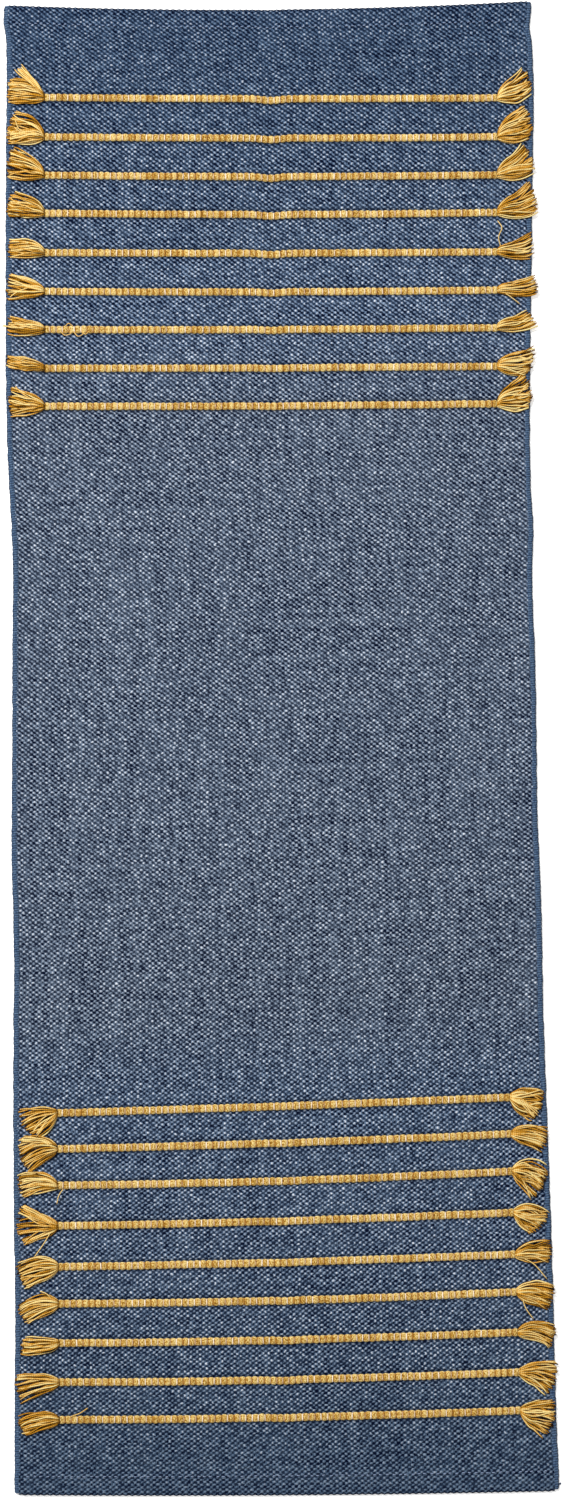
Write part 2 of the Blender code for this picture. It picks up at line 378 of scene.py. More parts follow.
def denimWeaveMaterial():
    # thick indigo-dyed cotton in plain weave: matte, rounded slubby floats of weft with painted shade in
    # the pits between them, and pale flecks where the undyed warp comes up. The pattern's places are
    # counted in threads, which lie 4.4 mm apart across the rug and 3.4 mm along it, so a noise scale of 1
    # is one lump a thread.
    look = groundWeave
    material, tree, shader = cottonMaterial("wovenIndigoCotton", sheen=0.02, specular=0.03)
    lay = addNode(tree, "Attribute", {"attribute_name": "weave"}).outputs["Vector"]
    stretch = addNode(tree, "VectorMath", {"operation": "MULTIPLY", 1: (0.55, 0.8, 1.0)},
                      {0: lay}).outputs[0]
    wobble = addNode(tree, "TexNoise", {"Scale": 1.0, "Detail": 1.0}, {"Vector": stretch}).outputs["Color"]
    centred = addNode(tree, "VectorMath", {"operation": "SUBTRACT", 1: (0.5, 0.5, 0.5)},
                      {0: wobble}).outputs[0]
    offset = addNode(tree, "VectorMath", {"operation": "MULTIPLY", 1: (1.15, 1.0, 0.0)},
                     {0: centred}).outputs[0]
    thread = addNode(tree, "VectorMath", {"operation": "ADD"}, {0: lay, 1: offset}).outputs[0]

    # staggered floats: a crest at every other crossing and a pit between, taller than wide,
    # with a slant from the yarn's twist
    across, along, _ = addNode(tree, "SeparateXYZ", {}, {0: thread}).outputs
    turns = {}
    for name, place, rate, wave in (("warp", across, 1, "COSINE"), ("warpFine", across, 3, "COSINE"),
                                    ("pick", along, 1, "COSINE"), ("warpSlant", across, 1, "SINE"),
                                    ("pickSlant", along, 1, "SINE")):
        angle = addNode(tree, "Math", {"operation": "MULTIPLY", 1: rate * math.pi}, {0: place}).outputs[0]
        turns[name] = addNode(tree, "Math", {"operation": wave}, {0: angle}).outputs[0]
    narrowed = addNode(tree, "Math", {"operation": "MULTIPLY_ADD", 1: 0.25},
                       {0: turns["warpFine"], 2: turns["warp"]}).outputs[0]
    crossed = addNode(tree, "Math", {"operation": "MULTIPLY"},
                      {0: narrowed, 1: turns["pick"]}).outputs[0]
    slanted = addNode(tree, "Math", {"operation": "MULTIPLY"},
                      {0: turns["warpSlant"], 1: turns["pickSlant"]}).outputs[0]
    pick = addNode(tree, "SeparateXYZ", {}, {0: lay}).outputs["Y"]
    share = addNode(tree, "Math", {"operation": "DIVIDE", 1: pickCount}, {0: pick}).outputs[0]
    nearLean, farLean = look["twistSlant"]
    leaning = addNode(tree, "MapRange", {"From Min": 0.15, "From Max": 0.62, "To Min": -nearLean,
                                         "To Max": -farLean}, {"Value": share}).outputs[0]
    height = addNode(tree, "Math", {"operation": "MULTIPLY_ADD"},
                     {0: slanted, 1: leaning, 2: crossed}).outputs[0]

    # no two crossings are beaten up alike
    shifted = addNode(tree, "VectorMath", {"operation": "ADD", 1: (0.5, 0.5, 0)}, {0: thread}).outputs[0]
    crossing = addNode(tree, "VectorMath", {"operation": "FLOOR"}, {0: shifted}).outputs[0]
    chance = addNode(tree, "TexWhiteNoise", {"noise_dimensions": "2D"},
                     {"Vector": crossing}).outputs["Value"]
    uneven = addNode(tree, "Math", {"operation": "MULTIPLY_ADD", 1: look["uneven"], 2: -look["uneven"] / 2},
                     {0: chance}).outputs[0]
    pitHeight = addNode(tree, "Math", {"operation": "ADD"}, {0: height, 1: uneven}).outputs[0]

    # slubs: the weft swells and pales over a few threads
    slubPlace = addNode(tree, "VectorMath", {"operation": "MULTIPLY", 1: (0.16, 0.95, 1.0)},
                        {0: lay}).outputs[0]
    slub = addNode(tree, "TexNoise", {"Scale": 1.0, "Detail": 3.0, "Roughness": 0.65},
                   {"Vector": slubPlace}).outputs[0]
    # some warps are paler than their neighbours for a long way, and so are some picks
    streaks = {}
    for name, stretched in (("warp", (0.45, 0.012, 1.0)), ("pick", (0.014, 0.5, 1.0))):
        place = addNode(tree, "VectorMath", {"operation": "MULTIPLY", 1: stretched}, {0: lay}).outputs[0]
        streaks[name] = addNode(tree, "TexNoise", {"Scale": 1.0, "Detail": 2.0},
                                {"Vector": place}).outputs[0]
    streaked = addNode(tree, "Math", {"operation": "ADD"},
                       {0: streaks["warp"], 1: streaks["pick"]}).outputs[0]
    streak = addNode(tree, "Math", {"operation": "MULTIPLY", 1: 0.5}, {0: streaked}).outputs[0]
    yarn = addNode(tree, "ValToRGB", {}, {0: slub})
    ramp = yarn.color_ramp
    ramp.elements[0].position, ramp.elements[0].color = 0.27, linearColour(look["yarnDark"])
    ramp.elements[1].position, ramp.elements[1].color = 0.74, linearColour(look["yarnPale"])
    ramp.elements.new(0.5).color = linearColour(look["yarn"])

    # the middle of the rug is greyer and paler than its ends
    fromMiddle = addNode(tree, "Math", {"operation": "SUBTRACT", 1: pickCount * 0.52},
                         {0: pick}).outputs[0]
    away = addNode(tree, "Math", {"operation": "ABSOLUTE"}, {0: fromMiddle}).outputs[0]
    faded = addNode(tree, "MapRange", {"interpolation_type": "SMOOTHSTEP", "From Min": pickCount * 0.19,
                                       "From Max": pickCount * 0.27, "To Min": 0.30, "To Max": 0.0},
                    {"Value": away}).outputs[0]
    greyed = addNode(tree, "Mix", {"data_type": "RGBA", 7: linearColour(look["greyed"])},
                     {0: faded, 6: yarn.outputs["Color"]}).outputs[2]

    # dyed a little deeper towards both ends
    depth = addNode(tree, "ValToRGB", {}, {0: share})
    stops = depth.color_ramp.elements
    for number, (place, light) in enumerate(look["dyeDepth"]):
        stop = stops[number] if number < 2 else stops.new(place)
        stop.position, stop.color = place, (*light, 1)
    deepened = addNode(tree, "Mix", {"data_type": "RGBA", "blend_type": "MULTIPLY", 0: 1.0},
                       {6: greyed, 7: depth.outputs["Color"]}).outputs[2]

    # painted shade in the pits, deeper along some threads than along others
    pit = addNode(tree, "MapRange", {"interpolation_type": "SMOOTHSTEP", "From Min": look["pitRim"],
                                     "From Max": look["pitFloor"]}, {"Value": pitHeight}).outputs[0]
    pitDepth = addNode(tree, "MapRange", {"From Min": 0.4, "From Max": 0.68, "To Min": 1.0,
                                          "To Max": 0.72}, {"Value": streak}).outputs[0]
    pitted = addNode(tree, "Math", {"operation": "MULTIPLY"}, {0: pit, 1: pitDepth}).outputs[0]
    # painted shade: the pits are mixed towards the shade colour
    dark = addNode(tree, "Mix", {"data_type": "RGBA", 7: linearColour(look["shadeColour"])},
                   {0: pitted, 6: deepened}).outputs[2]

    # undyed warp comes up on the crests: hardly at most crossings, white at a few
    rare = addNode(tree, "Math", {"operation": "POWER", 1: look["fleckRarity"]}, {0: chance}).outputs[0]
    least = addNode(tree, "Math", {"operation": "MULTIPLY_ADD", 1: 0.85, 2: 0.10}, {0: rare}).outputs[0]
    streaky = addNode(tree, "MapRange", {"From Min": 0.3, "From Max": 0.7, "To Min": 0.45, "To Max": 1.1},
                      {"Value": streak}).outputs[0]
    nearEnd = addNode(tree, "MapRange", {"From Min": 0.0, "From Max": 0.09, "To Min": 0.25, "To Max": 1.0},
                      {"Value": share}).outputs[0]
    farEnd = addNode(tree, "MapRange", {"From Min": 0.88, "From Max": 0.97, "To Min": 1.0, "To Max": 0.6},
                     {"Value": share}).outputs[0]
    atEnds = addNode(tree, "Math", {"operation": "MULTIPLY"}, {0: farEnd, 1: nearEnd}).outputs[0]
    calmed = addNode(tree, "Math", {"operation": "MULTIPLY"}, {0: streaky, 1: atEnds}).outputs[0]
    chosen = addNode(tree, "Math", {"operation": "MULTIPLY"}, {0: least, 1: calmed}).outputs[0]
    crest = addNode(tree, "MapRange", {"interpolation_type": "SMOOTHSTEP", "From Min": 0.15,
                                       "From Max": 0.95}, {"Value": height}).outputs[0]
    fleck = addNode(tree, "Math", {"operation": "MULTIPLY", "use_clamp": True},
                    {0: chosen, 1: crest}).outputs[0]
    flecked = addNode(tree, "Mix", {"data_type": "RGBA", 7: linearColour(look["fleck"])},
                      {0: fleck, 6: dark}).outputs[2]

    # painted shade: dark where it folds under and where it dips beside a stripe
    inShade = addNode(tree, "Attribute", {"attribute_name": "shade"}).outputs["Fac"]
    shaded = addNode(tree, "Mix", {"data_type": "RGBA", 7: linearColour(look["shadeColour"])},
                     {0: inShade, 6: flecked}).outputs[2]
    tree.links.new(shaded, shader.inputs["Base Color"])

    bump = addNode(tree, "Bump", {"Strength": 0.8, "Distance": 0.6 * mm}, {"Height": height})
    tree.links.new(bump.outputs[0], shader.inputs["Normal"])
    return material


def weaveHeight(u, v):
    # crest of a float at one crossing, hollow at the next
    return 0.58 * np.cos(math.pi * (u + v)) + 0.42 * np.cos(math.pi * (u - v))


def clothHeight(x, along):
    # the cloth's face, without the weave's relief
    (coarse, coarseGap), (fine, fineGap) = groundWeave["lumps"]
    lumps = coarse * waver(x + 0.3 * along, coarseGap * mm, 6) + fine * waver(along, fineGap * mm, 7)
    return clothTop + (lumps - 0.2) * mm


def makeGroundCloth(material):
    look = groundWeave
    step = 1 / look["samplesPerThread"]
    u = np.arange(0, warpCount + step / 2, step)
    v = np.arange(0, pickCount + step / 2, step)
    foldRadius = clothTop / 2
    middle = (v / pickCount * 2 - 1) * (rugHalfLength - foldRadius)
    stripePlaces = np.array([station[0] for station in stations[1:-1]])

    # the section along the rug: over the top, round the far fold, back underneath, round the near fold
    rises = [(rugHalfLength - place * mm, height * mm) for place, height in look["underside"]]
    levelFrom, level = rises[-1]
    between = np.linspace(levelFrom, -levelFrom, round(2 * levelFrom / (look["underStep"] * mm)) + 1)[1:-1]
    riseMiddle, riseHeight = np.array(rises).T
    underMiddle = np.concatenate([riseMiddle, between, -riseMiddle[::-1]])
    underHeight = np.concatenate([riseHeight, np.full(len(between), level), riseHeight[::-1]])
    under = (underMiddle / (rugHalfLength - foldRadius) + 1) / 2 * pickCount
    fold = np.arange(1, 2 * look["foldSteps"]) * math.pi / (2 * look["foldSteps"])
    farEnd, nearEnd = middle[-1], middle[0]
    rowMiddle = np.concatenate([middle, farEnd + foldRadius * np.sin(fold), underMiddle,
                                nearEnd - foldRadius * np.sin(fold)])
    rowPick = np.concatenate([v, np.full(len(fold), pickCount) + fold, under, -fold[::-1]])
    topShare = np.concatenate([np.ones(len(v)), 0.5 + 0.5 * np.cos(fold), np.zeros(len(under)),
                               0.5 + 0.5 * np.cos(fold[::-1])])
    foot = np.concatenate([np.full(len(v) + len(fold), level), underHeight, np.full(len(fold), level)])
    uu, _ = np.meshgrid(u, rowMiddle)
    feet = np.repeat(foot[:, None], len(u), axis=1)
    vv = np.repeat(rowPick[:, None], len(u), axis=1)
    share = np.repeat(topShare[:, None], len(u), axis=1)
    straight = np.repeat(rowMiddle[:, None], len(u), axis=1)

    rough = rowPlace(warpPlace(uu, straight), straight)
    x = warpPlace(uu, rough)
    y = rowPlace(x, straight)
    scallop = np.exp(-((rugHalfLength - np.abs(straight)) / (4 * mm)) ** 2) * look["scallop"] * mm
    y = y + np.sign(straight) * scallop * np.cos(math.pi * uu) + cornerDrop(x, straight)

    toStripe = np.abs(straight[..., None] - stripePlaces).min(axis=2)
    hasStripes = np.abs(x) < rugHalfWidth - look["grooveInset"] * mm
    groove = look["grooveDepth"] * mm * np.clip(1.35 - toStripe / (look["grooveHalfWidth"] * mm), 0, 1)
    fromHem = np.abs(straight) - rugHalfLength + look["hemReach"] * mm
    doubled = np.clip(fromHem / (look["hemSlope"] * mm), 0, 1) * look["hemRise"] * mm
    swell = 0.75 + 0.25 * waver(uu * 0.31 + vv * 0.17, 1.0, 5)
    relief = look["relief"] * mm * swell * weaveHeight(uu, vv)
    top = clothHeight(x, y) + relief - groove * hasStripes + doubled
    z = feet + (top - feet) * share

    points = np.stack([x, y, z], axis=2)
    rows, columns = uu.shape
    grid = np.arange(rows * columns).reshape(rows, columns)
    lower, upper = grid, np.roll(grid, -1, axis=0)
    quads = np.stack([lower[:, :-1], lower[:, 1:], upper[:, 1:], upper[:, :-1]], axis=2).reshape(-1, 4)
    faces = [tuple(q) for q in quads.tolist()]
    topRows = len(v)
    chainTop = [(straight[r, 0], r) for r in range(topRows)]
    chainUnder = [(straight[r, 0], r) for r in range(rows - 1, topRows - 1, -1)]
    for column, flip in ((0, False), (columns - 1, True)):
        faces += zipChains(chainTop, chainUnder, grid[:, column], flip)

    piece = makePiece("indigoGroundCloth", points.reshape(-1, 3), faces, material, "rug",
                      ["ground_cloth"])
    weave = np.stack([uu, vv, np.zeros_like(uu)], axis=2).reshape(-1, 3)
    addValues(piece, "weave", weave, "FLOAT_VECTOR")
    # painted shade where it folds under at its ends, and where it dips beside a stripe
    folded = 1 - np.clip((rugHalfLength - np.abs(straight) - 1.2 * mm) / (2.6 * mm), 0, 1)
    beside = np.exp(-((toStripe - 6.9 * mm) / (1.5 * mm)) ** 2) * hasStripes
    shade = np.maximum(folded * look["foldShade"], beside * look["shadeBesideStripe"]) * (share > 0)
    addValues(piece, "shade", shade)
    print("ground cloth woven:", warpCount, "warps,", pickCount, "picks,", len(faces), "faces")
    return piece


def zipChains(chainA, chainB, column, flip):
    # triangles that close one open side, between the rows over and the rows under
    faces = []
    i = j = 0
    while i < len(chainA) - 1 or j < len(chainB) - 1:
        a, b = int(column[chainA[i][1]]), int(column[chainB[j][1]])
        stepA = j == len(chainB) - 1 or (i < len(chainA) - 1 and chainA[i + 1][0] <= chainB[j + 1][0])
        if stepA:
            i += 1
            face = (a, int(column[chainA[i][1]]), b)
        else:
            j += 1
            face = (a, int(column[chainB[j][1]]), b)
        faces.append(face[::-1] if flip else face)
    return faces


# Selvedges: the outer warps packed into a cord that the weft wraps round.
selvedgeCord = {
    "halfWidth": 4.4,      # mm
    "halfHeight": 2.1,
    "offFloor": 0.27,
    "wrapBulge": 0.25,     # mm, at each turn of the weft
    "grooveShade": 0.6,    # how much painted shade the groove between two turns gets
    "sidesAround": 12,
    # the colour of the painted shade in the grooves and at the cord's sides
    "groove": "#0b1628",
    "yarn": "#30486a",
    "yarnPale": "#627b97",
    "edgeShade": 0.85,     # how much painted shade it gets where it turns down at its sides
}


def selvedgeMaterial():
    # the same indigo cotton, wrapped tight: smoother and darker than the open weave, with slanting
    # grooves, one at each pick (3.4 mm), painted dark in the grooves and at its sides (painted shade)
    look = selvedgeCord
    material, tree, shader = cottonMaterial("wrappedIndigoCotton", roughness=0.85)
    lay = addNode(tree, "Attribute", {"attribute_name": "lay"}).outputs["Vector"]
    slant = addNode(tree, "VectorMath", {"operation": "DOT_PRODUCT", 1: (1.0, 2 * math.pi, 0)}, {0: lay})
    wave = addNode(tree, "Math", {"operation": "COSINE"}, {0: slant.outputs["Value"]}).outputs[0]
    spread = addNode(tree, "VectorMath", {"operation": "MULTIPLY", 1: (1.6, 0.8, 1)}, {0: lay}).outputs[0]
    mottle = addNode(tree, "TexNoise", {"Scale": 1.0, "Detail": 3.0}, {"Vector": spread}).outputs[0]
    yarn = addNode(tree, "ValToRGB", {}, {0: mottle})
    ramp = yarn.color_ramp
    ramp.elements[0].position, ramp.elements[0].color = 0.35, linearColour(look["yarn"])
    ramp.elements[1].position, ramp.elements[1].color = 0.68, linearColour(look["yarnPale"])
    # painted shade in the grooves between the turns
    pit = addNode(tree, "MapRange", {"interpolation_type": "SMOOTHSTEP", "From Min": 0.0, "From Max": -0.9,
                                     "To Max": look["grooveShade"]},
                  {"Value": wave}).outputs[0]
    grooved = addNode(tree, "Mix", {"data_type": "RGBA", 7: linearColour(look["groove"])},
                      {0: pit, 6: yarn.outputs["Color"]}).outputs[2]
    # painted shade where the cord turns down at its sides
    turned = addNode(tree, "SeparateXYZ", {}, {0: lay}).outputs["X"]
    sideways = addNode(tree, "Math", {"operation": "COSINE"}, {0: turned}).outputs[0]
    steep = addNode(tree, "Math", {"operation": "ABSOLUTE"}, {0: sideways}).outputs[0]
    shaded = addNode(tree, "MapRange", {"From Min": 0.55, "From Max": 1.0, "To Min": 0.0,
                                        "To Max": look["edgeShade"]}, {"Value": steep}).outputs[0]
    edged = addNode(tree, "Mix", {"data_type": "RGBA", 7: linearColour(look["groove"])},
                    {0: shaded, 6: grooved}).outputs[2]
    tree.links.new(edged, shader.inputs["Base Color"])
    bump = addNode(tree, "Bump", {"Strength": 0.7, "Distance": 0.5 * mm}, {"Height": wave})
    tree.links.new(bump.outputs[0], shader.inputs["Normal"])
    return material


def makeSelvedge(side, material):
    look = selvedgeCord
    around = look["sidesAround"]
    pick = np.arange(0, pickCount + 0.25, 0.5)
    straight = (pick / pickCount * 2 - 1) * (rugHalfLength - 1.2 * mm)
    edge = sides[side] * rugHalfWidth
    along = rowPlace(edge, straight) + cornerDrop(edge - sides[side] * 4 * mm, straight)
    wrap = np.cos(math.pi * pick + sides[side]) * look["wrapBulge"] * mm
    fromEnd = np.clip((rugHalfLength - np.abs(straight)) / (5 * mm), 0, 1)
    endTaper = np.sqrt(np.clip(1 - (1 - fromEnd) ** 2, 0.15, 1))
    half = (look["halfWidth"] * mm + wrap) * endTaper
    x = sidePlace(side, along) - sides[side] * (look["halfWidth"] * mm + 0.2 * mm)
    lift = 0.125 * waver(along, 40 * mm, 21 + sides[side])
    path = np.stack([x, along, (look["halfHeight"] + look["offFloor"] + lift) * mm], axis=1)
    rings = tubePoints(path, half, around, look["halfHeight"] / look["halfWidth"])
    piece = makePiece(f"selvedgeCord_{side}", rings.reshape(-1, 3), tubeFaces(len(path), around), material,
                      "rug", [f"{side}_selvedge"])
    turn = np.tile(np.arange(around) * 2 * math.pi / around, len(path))
    turn = np.minimum(turn, 2 * math.pi - turn)
    lay = np.stack([turn, np.repeat(pick, around), np.full(len(turn), 3.0 * sides[side])], axis=1)
    addValues(piece, "lay", lay, "FLOAT_VECTOR")
    return piece


# Hems: each end turned under, pressed flat and stitched.
turnedHem = {
    "depth": 30.0,         # mm, as deep as the frame's own hem
    "inset": 2.4,          # mm from the fold
    "thickness": 1.3,
    "offFloor": 0.25,
    "rim": 0.45,           # mm, how far its edges are thinned from above and from below
    "relief": 0.25,        # mm, of the weave on its underside
    "stitchPlace": 27.0,   # mm from the end
    "stitchEvery": 2,      # warps
    "stitchLength": 3.6,
    "stitchThickness": 1.5,
    "thread": "#8b9bb8",
    "threadShade": "#5d6b84",
}


def makeHem(end, material):
    look = turnedHem
    sign = ends[end]
    columns = np.arange(0, warpCount + 1)
    picks = round(look["depth"] * mm / weaveLay["pickSpacing"]) + 1
    inward = np.linspace(look["inset"], look["depth"] - 0.5, picks) * mm
    points, weave = [], []
    for upper in (True, False):
        for row, place in enumerate(inward):
            middle = np.full(len(columns), sign * (rugHalfLength - place))
            x = warpPlace(columns, middle)
            y = rowPlace(x, middle) + cornerDrop(x, middle)
            rim = look["rim"] if row in (0, picks - 1) else 0.0
            if upper:
                z = np.full(len(columns), look["offFloor"] + look["thickness"] - rim)
            else:
                z = look["offFloor"] + 0.15 + look["relief"] * weaveHeight(columns, row) + rim
            points += list(zip(x, y, z * mm))
            weave += [(c, row + 0.5, 7.0 * sign) for c in columns]
    width = len(columns)
    top = np.arange(picks * width).reshape(picks, width)
    bottom = top + picks * width
    faces = []
    for r in range(picks - 1):
        for c in range(width - 1):
            upper = (top[r, c], top[r, c + 1], top[r + 1, c + 1], top[r + 1, c])
            under = (bottom[r, c], bottom[r + 1, c], bottom[r + 1, c + 1], bottom[r, c + 1])
            faces += [upper[::-1], under[::-1]] if sign > 0 else [upper, under]
    rim = [top[0, c] for c in range(width)] + [top[r, -1] for r in range(1, picks)]
    rim += [top[-1, c] for c in range(width - 2, -1, -1)] + [top[r, 0] for r in range(picks - 2, 0, -1)]
    for a, b in zip(rim, rim[1:] + rim[:1]):
        side = (a, a + picks * width, b + picks * width, b)
        faces.append(side if sign < 0 else side[::-1])
    faces = [tuple(int(i) for i in face) for face in faces]
    piece = makePiece(f"turnedHem_{end}", points, faces, material, "rug", [f"{end}_hem"])
    addValues(piece, "weave", weave, "FLOAT_VECTOR")
    return piece


def threadMaterial():
    # pale blue mercerised cotton sewing thread: a little lustrous, ridged by its twist every 1.4 mm, with
    # painted shade in the twist's grooves
    material, tree, shader = cottonMaterial("twistedPaleCottonThread", roughness=0.7, sheen=0.05)
    lay = addNode(tree, "Attribute", {"attribute_name": "lay"}).outputs["Vector"]
    slant = addNode(tree, "VectorMath", {"operation": "DOT_PRODUCT", 1: (1.0, 4.5, 0)}, {0: lay})
    wave = addNode(tree, "Math", {"operation": "SINE"}, {0: slant.outputs["Value"]}).outputs[0]
    # painted shade in the grooves of the twist
    shade = addNode(tree, "MapRange", {"From Min": -1.0, "From Max": 1.0, "To Min": 0.3, "To Max": 0.0},
                    {"Value": wave}).outputs[0]
    colour = addNode(tree, "Mix", {"data_type": "RGBA", 6: linearColour(turnedHem["thread"]),
                                   7: linearColour(turnedHem["threadShade"])}, {0: shade}).outputs[2]
    tree.links.new(colour, shader.inputs["Base Color"])
    bump = addNode(tree, "Bump", {"Strength": 0.5, "Distance": 0.2 * mm}, {"Height": wave})
    tree.links.new(bump.outputs[0], shader.inputs["Normal"])
    return material


def bundleOfTubes(name, paths, radii, around, material, body, stands=(), tones=None):
    # several closed tubes as one mesh. For the material, "lay" holds the way round each (radians) and the
    # way along it (mm), and "tone" how light it is, from 0 to 1
    points, faces, lay, tone = [], [], [], []
    for number, (path, radius) in enumerate(zip(paths, radii)):
        rings = tubePoints(path, radius, around)
        faces += tubeFaces(len(path), around, sum(len(p) for p in points))
        points.append(rings.reshape(-1, 3))
        steps = np.linalg.norm(np.diff(np.asarray(path), axis=0), axis=1)
        gone = np.concatenate([[0], np.cumsum(steps)]) / mm
        turn = np.arange(around) * 2 * math.pi / around
        lay.append(np.stack([np.tile(turn, len(path)), np.repeat(gone, around),
                             np.full(len(path) * around, number * 7.0)], axis=1))
        shade = np.full(len(path), 0.5) if tones is None else np.asarray(tones[number])
        tone.append(shade.ravel() if shade.ndim == 2 else np.repeat(shade, around))
    piece = makePiece(name, np.concatenate(points), faces, material, body, stands)
    addValues(piece, "lay", np.concatenate(lay), "FLOAT_VECTOR")
    addValues(piece, "tone", np.concatenate(tone))
    return piece


def makeStitching(end, material):
    look = turnedHem
    rng = np.random.default_rng(31 + ends[end])
    paths, radii = [], []
    for warp in range(3, warpCount - 2, look["stitchEvery"]):
        straight = ends[end] * (rugHalfLength - look["stitchPlace"] * mm)
        x = warpPlace(warp + rng.uniform(-0.3, 0.3), straight)
        y = rowPlace(x, straight) + rng.uniform(-0.5, 0.5) * mm
        half = look["stitchLength"] / 2 * mm * rng.uniform(0.8, 1.1)
        across = np.linspace(-1, 1, 7)
        top = clothHeight(x, y) + (groundWeave["hemRise"] + 0.85) * mm
        path = np.stack([x + across * half, y + across * rng.uniform(-0.4, 0.4) * mm,
                         top - 1.5 * mm * across ** 4], axis=1)
        paths.append(path)
        radii.append(np.full(7, look["stitchThickness"] / 2 * mm))
    return bundleOfTubes(f"hemStitching_{end}", paths, radii, 6, material, "rug")


# Stripes: thick loosely spun yarn laid into the face, tied down by every other pair of warps.
inlaidStripe = {
    "halfWidth": 5.5,          # mm
    "beadLength": 8.8,         # mm, from one tie to the next
    "crownHeight": 2.1,        # mm over the cloth, at the middle of a bead
    "tieHeight": 0.1,          # mm over the cloth, where a tie presses it down
    "foot": 2.1,               # mm off the floor, its underside in its groove
    "pinch": (0.70, 0.32),     # its half width at a tie, and how much more at the middle of a bead
    "pastRoot": 3.0,           # mm from a tassel's root to the end of the stripe
    "ringsPerBead": 8,
    "sidesAround": 14,
    "tieThickness": 1.9,
    "tieReach": 0.84,          # of the half width, to where a tie dives into the cloth
    "yarnDeep": "#7c5013",
    "yarn": "#be8d2e",
    "yarnPale": "#f2da92",
    "tieYarn": "#fff0da",
    # the mustard stain on a tie, and also its painted shade towards its ends
    "tieStainAndShade": "#b27c30",
    "tieTint": {"far": (-0.40, 0.85), "near": (-0.45, 0.85)},      # how far the mustard has stained a tie
    "beadVariety": {"far": 0.85, "near": 0.55},     # how unlike in tone two beads are, and how strong the painted shade and highlight across each bead are
}


def mustardStripeMaterial():
    # mustard-dyed cotton roving: soft fat beads, mottled orange and pale by their fibres, with tufts of
    # fibre about 2 mm long; a painted highlight along each bead's two edges, and the tone attribute adds
    # painted shade at the notches between beads and on one side of each bead
    look = inlaidStripe
    material, tree, shader = cottonMaterial("laidMustardCotton", roughness=0.85, sheen=0.05, specular=0.1)
    lay = addNode(tree, "Attribute", {"attribute_name": "lay"}).outputs["Vector"]
    tone = addNode(tree, "Attribute", {"attribute_name": "tone"}).outputs["Fac"]
    strands = addNode(tree, "VectorMath", {"operation": "MULTIPLY", 1: (2.4, 0.55, 1)}, {0: lay}).outputs[0]
    fibre = addNode(tree, "TexNoise", {"Scale": 1.0, "Detail": 4.0, "Roughness": 0.6},
                    {"Vector": strands}).outputs[0]
    mixed = addNode(tree, "Math", {"operation": "MULTIPLY_ADD", 1: 2.2, 2: -0.9}, {0: fibre}).outputs[0]
    # painted highlight: each bead is painted lighter along its two edges
    turned = addNode(tree, "SeparateXYZ", {}, {0: lay}).outputs["X"]
    rim = addNode(tree, "Math", {"operation": "COSINE"}, {0: turned}).outputs[0]
    rimHighlight = addNode(tree, "Math", {"operation": "POWER", 1: 4.0}, {0: rim}).outputs[0]
    lit = addNode(tree, "Math", {"operation": "MULTIPLY_ADD", 1: 0.22}, {0: rimHighlight, 2: mixed}).outputs[0]
    shade = addNode(tree, "Math", {"operation": "MULTIPLY_ADD", 1: 0.6}, {0: tone, 2: lit}).outputs[0]
    yarn = addNode(tree, "ValToRGB", {}, {0: shade})
    ramp = yarn.color_ramp
    ramp.elements[0].position, ramp.elements[0].color = 0.22, linearColour(look["yarnDeep"])
    ramp.elements[1].position, ramp.elements[1].color = 0.80, linearColour(look["yarnPale"])
    ramp.elements.new(0.48).color = linearColour(look["yarn"])
    tree.links.new(yarn.outputs["Color"], shader.inputs["Base Color"])
    bump = addNode(tree, "Bump", {"Strength": 0.6, "Distance": 0.5 * mm}, {"Height": fibre})
    tree.links.new(bump.outputs[0], shader.inputs["Normal"])
    return material


def tieMaterial():
    # undyed warp yarn, matte and off-white, stained in places by the mustard yarn beneath it, and painted
    # darker towards its ends where it dives into the cloth (painted shade), with a ridge of its twist every
    # 2 mm
    material, tree, shader = cottonMaterial("tiedUndyedCotton", roughness=0.85)
    lay = addNode(tree, "Attribute", {"attribute_name": "lay"}).outputs["Vector"]
    mottle = addNode(tree, "TexNoise", {"Scale": 0.5, "Detail": 2.0}, {"Vector": lay}).outputs[0]
    tone = addNode(tree, "Attribute", {"attribute_name": "tone"}).outputs["Fac"]
    stainAndShade = addNode(tree, "Math", {"operation": "MULTIPLY_ADD", 1: 0.7, "use_clamp": True},
                   {0: mottle, 2: tone}).outputs[0]
    colour = addNode(tree, "Mix", {"data_type": "RGBA", 6: linearColour(inlaidStripe["tieYarn"]),
                                   7: linearColour(inlaidStripe["tieStainAndShade"])}, {0: stainAndShade}).outputs[2]
    tree.links.new(colour, shader.inputs["Base Color"])
    slant = addNode(tree, "VectorMath", {"operation": "DOT_PRODUCT", 1: (1.0, 3.0, 0)}, {0: lay})
    wave = addNode(tree, "Math", {"operation": "SINE"}, {0: slant.outputs["Value"]}).outputs[0]
    bump = addNode(tree, "Bump", {"Strength": 0.5, "Distance": 0.3 * mm}, {"Height": wave})
    tree.links.new(bump.outputs[0], shader.inputs["Normal"])
    return material


